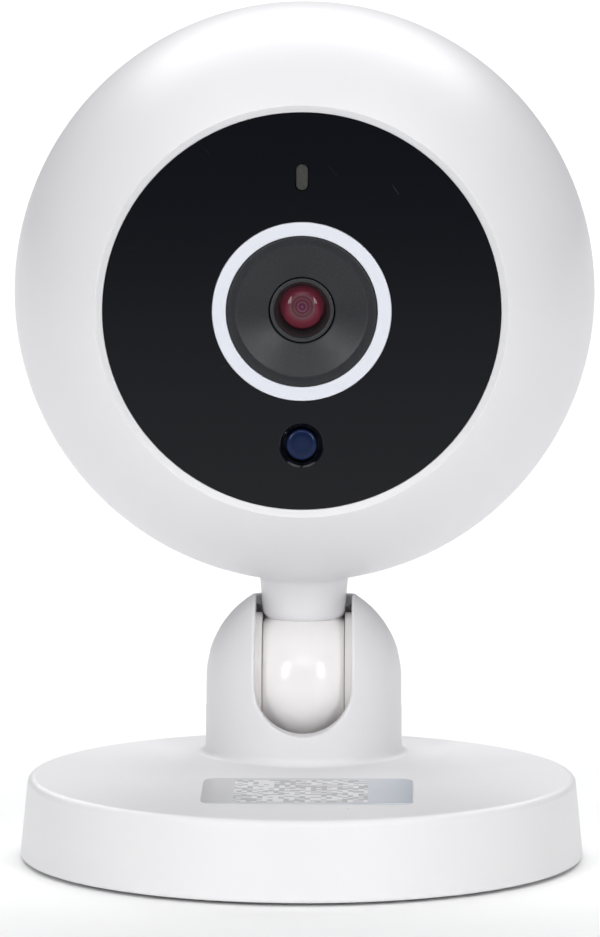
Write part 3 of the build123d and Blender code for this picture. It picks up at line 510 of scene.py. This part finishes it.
# %% Give every engineering node its finish
record = frame["record"]
slot_of = {entry["node"]: entry["material_slot"] for entry in record["subparts"]}
for node, piece in frame["nodes"].items():
    piece.data.materials.clear()
    piece.data.materials.append(finishes[slot_of[node]])
print("nodes finished", len(slot_of), "finishes", len(finishes))
print("unused finishes", sorted(set(finishes) - set(slot_of.values())))

# %% [markdown]
# ## Turned pieces
# Most of this camera is round, and a round piece is best drawn as half of its cross-section and
# spun, as on a lathe. The outline starts as one vertex, left when a small plane is merged to its
# middle. It is extruded from point to point, and the spin operator carries it round. Spinning can
# leave the faces pointing inwards, so the seam is merged and the normals are recalculated. Edges
# then get a bevel modifier, because a real edge is never sharp: its rounding catches a thin line
# of light.

# %% The lathe and its helpers
def take(*pieces):
    """Selects only these pieces and makes the first active."""
    bpy.ops.object.select_all(action="DESELECT")
    for piece in pieces:
        piece.select_set(True)
    bpy.context.view_layer.objects.active = pieces[0]


def arc(radius, centre, start, end, count):
    """Points (radius, height) on an arc about (0, centre); angles in degrees from the axis."""
    angles = [radians(start + (end - start) * i / count) for i in range(count + 1)]
    return [(radius * sin(a), centre + radius * cos(a)) for a in angles]


def lathe(name, outline, place, steps=128):
    """Spins a closed outline of (radius, height) points in millimetres round Z, then places it."""
    bpy.ops.object.select_all(action="DESELECT")
    bpy.ops.mesh.primitive_plane_add(size=mm)
    piece = bpy.context.object
    piece.name = name
    bpy.ops.object.mode_set(mode="EDIT")
    bpy.ops.mesh.select_mode(type="VERT")
    bpy.ops.mesh.select_all(action="SELECT")
    bpy.ops.mesh.merge(type="CENTER")
    bpy.ops.transform.translate(value=(outline[0][0] * mm, 0, outline[0][1] * mm))
    for (r0, h0), (r1, h1) in zip(outline, outline[1:] + outline[:1]):
        step = {"value": ((r1 - r0) * mm, 0, (h1 - h0) * mm)}
        bpy.ops.mesh.extrude_vertices_move(TRANSFORM_OT_translate=step)
    bpy.ops.mesh.select_all(action="SELECT")
    bpy.ops.mesh.spin(steps=steps, angle=2 * pi, center=(0, 0, 0), axis=(0, 0, 1))
    bpy.ops.mesh.select_all(action="SELECT")
    bpy.ops.mesh.remove_doubles(threshold=0.002 * mm)
    bpy.ops.mesh.normals_make_consistent(inside=False)
    bpy.ops.object.mode_set(mode="OBJECT")
    return put(piece, place)


def put(piece, place):
    """Moves a piece made at the origin to its place, and applies that to its mesh."""
    take(piece)
    piece.matrix_world = place
    bpy.ops.object.transform_apply(location=True, rotation=True, scale=True)
    return piece


def soften(piece, width, segments=2, angle=30):
    """Rounds the edges that are sharper than angle by a width in millimetres, and smooths the shading."""
    take(piece)
    edge = piece.modifiers.new("rounding", "BEVEL")
    edge.width, edge.segments = width * mm, segments
    edge.limit_method, edge.angle_limit = "ANGLE", radians(angle)
    edge.use_clamp_overlap = True
    bpy.ops.object.modifier_apply(modifier=edge.name)
    return smooth(piece)


def smooth(piece):
    """Smooth shading that leaves the large flat faces flat, as weighted normals do."""
    take(piece)
    bpy.ops.object.shade_smooth_by_angle(angle=radians(35))
    weighting = piece.modifiers.new("weighting", "WEIGHTED_NORMAL")
    weighting.weight, weighting.keep_sharp = 100, True
    bpy.ops.object.modifier_apply(modifier=weighting.name)
    return piece


def cut(piece, cutter):
    """Subtracts the cutter from the piece and removes the cutter."""
    take(piece)
    hole = piece.modifiers.new("hole", "BOOLEAN")
    hole.operation, hole.solver, hole.object = "DIFFERENCE", "EXACT", cutter
    bpy.ops.object.modifier_apply(modifier=hole.name)
    bpy.data.objects.remove(cutter)
    return piece


def join(first, *others):
    """Joins pieces into the first."""
    take(first, *others)
    bpy.ops.object.join()
    return first


def fit(piece, body, slot, *nodes):
    """Gives a piece its finish and its body, and lets it stand for these nodes."""
    piece.data.materials.clear()
    piece.data.materials.append(finishes[slot])
    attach(piece, body)
    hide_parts(*nodes)
    print(piece.name, len(piece.data.polygons), "faces for", ", ".join(nodes))


yoke_back, pivot_z = 16.4, 17.6
head_place = Matrix.Translation((0, yoke_back * mm, head_z * mm)) @ Matrix.Rotation(radians(90), 4, "X")
ball_place = Matrix.Translation((0, yoke_back * mm, pivot_z * mm))
axle_place = ball_place @ Matrix.Rotation(radians(90), 4, "Y")
print("lathe ready")

# %% [markdown]
# ## The front shell
# The bowl is most of a sphere, 65 mm across, opened at the front for the black face and cut off
# behind, where it meets the rear shell. The neck is a separate turning about the vertical axis: it
# widens a little upwards, curls into the bowl with a small fillet, and ends below in a rounded
# shoulder that hugs the knuckle. The two are joined, because they are one moulding.

# %% Turn the bowl and the neck
head_r, wall, split_back, split_edge = 32.5, 2.0, 8.0, 0.25
bevel_r, face_r, face_front = 22.59, 21.8, 22.67
shelf_front, shelf_back, shelf_r = 21.17, 19.2, 18.8
outer_start = degrees(acos(-(split_back - split_edge) / head_r))
outer_end = degrees(asin(bevel_r / head_r))
inner_start = degrees(acos(shelf_back / (head_r - wall)))
inner_end = degrees(acos(-split_back / (head_r - wall)))
seam = [(sqrt(head_r**2 - split_back**2) - split_edge, -split_back)]
shelf = [(face_r, face_front), (face_r, shelf_front), (shelf_r, shelf_front), (shelf_r, shelf_back)]
outer_arc = arc(head_r, 0, outer_start, outer_end, 44)
inner_arc = arc(head_r - wall, 0, inner_start, inner_end, 30)
bowl = lathe("front_shell_bowl", seam + outer_arc + shelf + inner_arc, head_place, 160)
soften(bowl, 0.08)

above = head_z - pivot_z
fillet_r, neck_r, shoulder_r, end_r, neck_bore, neck_root = 0.5, 4.95, 4.66, 4.1, 3.0, 1.2


def under_head(r):
    """Height of the bowl's underside above the tilt axis, at a distance from the neck's axis."""
    return above - sqrt(head_r**2 - r * r)


hollow = [(neck_bore, 7.66), (3.6, 7.40), (end_r, 7.13)]
shoulder = [(end_r, 6.95), (4.28, 7.04), (4.46, 7.22), (4.58, 7.48), (4.64, 7.74), (shoulder_r, 8.0)]
flare = [(neck_r - 0.02, under_head(neck_r) - fillet_r), (neck_r + 0.03, under_head(neck_r) - 0.28),
         (neck_r + 0.14, under_head(neck_r) - 0.12), (neck_r + 0.32, under_head(neck_r + 0.32) - 0.03),
         (neck_r + 0.55, under_head(neck_r + 0.55) + 0.01)]
root = [(neck_r + 0.55, above - head_r + neck_root), (neck_bore, above - head_r + neck_root)]
neck = lathe("front_shell_neck", hollow + shoulder + flare + root, ball_place, 96)
fit(join(bowl, smooth(neck)), "head", "shell_white", "front_shell")

# %% [markdown]
# ## The face, the ring and the funnel
# The black face is a disc with three openings: one for the white ring, a small pill-shaped one above
# and a round one with a sloping rim below. The pill's cutter is a circle whose upper half is pulled up.
# Both small openings are cut with a boolean modifier. The ring and the funnel are turned; the
# funnel's cone leads down to the throat in which the lens barrel stands.


# %% Cut the face
def pill(name, half_width, stretch, low, high, place):
    """A flat-sided oval bar: a circle whose upper half is moved up, then extruded."""
    bpy.ops.object.select_all(action="DESELECT")
    bpy.ops.mesh.primitive_circle_add(vertices=64, radius=half_width * mm, fill_type="NGON",
                                      location=(0, -stretch / 2 * mm, low * mm))
    piece = bpy.context.object
    piece.name = name
    bpy.ops.object.transform_apply(location=True, rotation=True, scale=True)
    bpy.ops.object.mode_set(mode="EDIT")
    bpy.ops.mesh.select_all(action="DESELECT")
    bpy.ops.object.mode_set(mode="OBJECT")
    for corner in piece.data.vertices:
        corner.select = corner.co.y > (-stretch / 2 - 0.001) * mm
    bpy.ops.object.mode_set(mode="EDIT")
    bpy.ops.mesh.select_mode(type="VERT")
    bpy.ops.transform.translate(value=(0, stretch * mm, 0))
    bpy.ops.mesh.select_mode(type="FACE")
    bpy.ops.mesh.select_all(action="SELECT")
    bpy.ops.mesh.extrude_region_move(TRANSFORM_OT_translate={"value": (0, 0, (high - low) * mm)})
    bpy.ops.mesh.select_all(action="SELECT")
    bpy.ops.mesh.normals_make_consistent(inside=False)
    bpy.ops.object.mode_set(mode="OBJECT")
    return put(piece, place)


sensor_hole_r, sensor_rim_r, sensor_rim, past = 2.0, 2.45, 0.5, 0.1
window_half, window_long, cut_back, cut_front = 0.76, 1.53, 18, 25
face_hole_r, face_outer_r = 9.87, face_r - 0.05
window_place = head_place @ Matrix.Translation((0, sensor_drop * mm, 0))
sensor_place = head_place @ Matrix.Translation((0, -sensor_drop * mm, 0))
face_disc = lathe("face_disc", [(face_hole_r, shelf_front), (face_outer_r, shelf_front),
                                (face_outer_r, face_front), (face_hole_r, face_front)], head_place, 160)
cut(face_disc, pill("window_cutter", window_half, window_long, cut_back, cut_front, window_place))
sloping_hole = [(0, cut_back), (sensor_hole_r, cut_back), (sensor_hole_r, face_front - sensor_rim),
                (sensor_rim_r + 0.09, face_front + past), (0, face_front + past)]
cut(face_disc, lathe("sensor_cutter", sloping_hole, sensor_place, 64))
fit(soften(face_disc, 0.07), "head", "face_black", "face_panel")

# %% Turn the ring and the funnel
ring_outer, ring_inner, flange_r, flange, ring_back = 9.82, 8.29, 10.6, 1.0, 20.07
ring_section = [(ring_inner, ring_back), (flange_r, ring_back), (flange_r, ring_back + flange),
                (ring_outer, ring_back + flange), (ring_outer, face_front), (ring_inner, face_front)]
ring = lathe("light_diffuser_ring", ring_section, head_place, 128)
fit(soften(ring, 0.14, 3), "head", "ring_white", "light_ring")

hood_outer, band_r, throat_r, funnel, hood_back, hood_wall = 8.24, 7.2, 3.6, 1.5, 16.0, 1.2
funnel_back = face_front - funnel
inner_r, under_funnel = hood_outer - hood_wall, funnel_back - hood_wall
hood_section = [(hood_outer, face_front), (band_r, face_front), (throat_r, funnel_back),
                (throat_r, hood_back + 1), (throat_r + hood_wall, hood_back + 1),
                (throat_r + hood_wall, under_funnel), (inner_r, under_funnel), (inner_r, hood_back),
                (hood_outer, hood_back)]
hood = lathe("lens_funnel", hood_section, head_place, 128)
fit(soften(hood, 0.16, 3, 15), "head", "hood_black", "lens_hood")

# %% [markdown]
# ## The lens, the status window and the light sensor
# The front element is a shallow dome held behind the barrel's bevelled mouth. The status window is a
# grey pill just below the face, and the light sensor a dark blue dome sunk in its sloping hole.

# %% Turn the lens pieces
barrel_r, barrel_back, barrel_front, barrel_bevel, bore = 3.5, 11.2, 21.1, 0.2, 2.85
mouth_r, glass_r, glass_seat = 3.1, 2.45, 18.8
barrel_section = [(barrel_r - barrel_bevel, barrel_back), (barrel_r, barrel_back + barrel_bevel),
                  (barrel_r, barrel_front), (mouth_r, barrel_front), (glass_r, glass_seat),
                  (bore, glass_seat), (bore, barrel_back)]
barrel = lathe("barrel_tube", barrel_section, head_place, 96)
fit(soften(barrel, 0.08), "head", "barrel_black", "lens_barrel")

dome, dome_r, glass_edge_r, glass_back, clear_gap = 0.55, 2.4, 2.8, 17.2, 0.02
curve = (dome_r**2 + dome**2) / (2 * dome)
glass_section = [(0, glass_back), (glass_edge_r, glass_back), (glass_edge_r, glass_seat - clear_gap),
                 (dome_r, glass_seat - clear_gap)]
glass = lathe("front_element", glass_section
              + arc(curve, glass_seat + dome - curve, degrees(asin(dome_r / curve)), 0, 16), head_place, 96)
fit(smooth(glass), "head", "lens_glass", "front_lens")

sensor_r, sensor_back, sensor_top = 1.75, 19.2, face_front - 0.55
eye = lathe("light_sensor_dome", [(0, sensor_back), (sensor_r, sensor_back), (sensor_r, sensor_top - 0.35),
                                  (sensor_r - 0.1, sensor_top - 0.12), (sensor_r - 0.35, sensor_top),
                                  (0.9, sensor_top), (0, sensor_top)], sensor_place, 64)
fit(soften(eye, 0.05), "head", "sensor_blue", "light_sensor")

guide_half, guide_back, guide_sunk = 0.71, 19.9, 0.35
guide = pill("status_window", guide_half, window_long, guide_back, face_front - guide_sunk, window_place)
fit(soften(guide, 0.12, 3), "head", "guide_grey", "status_light_guide")

# %% [markdown]
# ## The knuckle
# The knuckle is a ball with two flat sides, so it is a turning about the tilt axis: a flat face, the
# ball's arc, and another flat face. Its rim edges stay crisp. The stem that turns in the neck is a
# second turning, joined on top.

# %% Turn the knuckle
ball_r, ball_half, pivot_hole = 8.1, 4.6, 1.3
stem_r, stem_bore, stem_foot, stem_top = 2.95, 1.03, 6.0, 14.9
rim_angle = degrees(acos(ball_half / ball_r))
knuckle = lathe("knuckle_ball", [(pivot_hole, -ball_half)] + arc(ball_r, 0, 180 - rim_angle, rim_angle, 40)
                + [(pivot_hole, ball_half)], axle_place, 160)
soften(knuckle, 0.12, 2, 20)
stem = lathe("knuckle_stem", [(stem_bore, stem_foot), (stem_r, stem_foot), (stem_r, stem_top),
                              (stem_bore, stem_top)], ball_place, 64)
fit(join(knuckle, soften(stem, 0.15)), "ball", "ball_gloss", "tilt_knuckle")

# %% [markdown]
# ## The rating film's sheet
# The film starts as a plane whose four corners are rounded by bevelling its vertices. It is then
# extruded to its thickness, and its upper edge gets the tiny rounding of a die-cut sheet.

# %% Cut the film
film_w, film_d, film_corner, film_thick = 23.0, 16.4, 1.6, 0.15
film_x, film_y, base_top = 0.8, -11.5, 9.2
bpy.ops.object.select_all(action="DESELECT")
bpy.ops.mesh.primitive_plane_add(size=1)
sheet = bpy.context.object
sheet.name = "rating_film"
sheet.scale = (film_w * mm, film_d * mm, 1)
bpy.ops.object.transform_apply(location=True, rotation=True, scale=True)
bpy.ops.object.mode_set(mode="EDIT")
bpy.ops.mesh.select_all(action="SELECT")
bpy.ops.mesh.bevel(offset=film_corner * mm, offset_type="OFFSET", segments=8, affect="VERTICES",
                   clamp_overlap=False)
bpy.ops.mesh.select_all(action="SELECT")
bpy.ops.mesh.extrude_region_move(TRANSFORM_OT_translate={"value": (0, 0, film_thick * mm)})
bpy.ops.mesh.select_all(action="SELECT")
bpy.ops.mesh.normals_make_consistent(inside=False)
bpy.ops.object.mode_set(mode="OBJECT")
put(sheet, Matrix.Translation((film_x * mm, film_y * mm, base_top * mm)))
fit(soften(sheet, 0.04, 2, 60), "stand", "label_silver", "base_label")
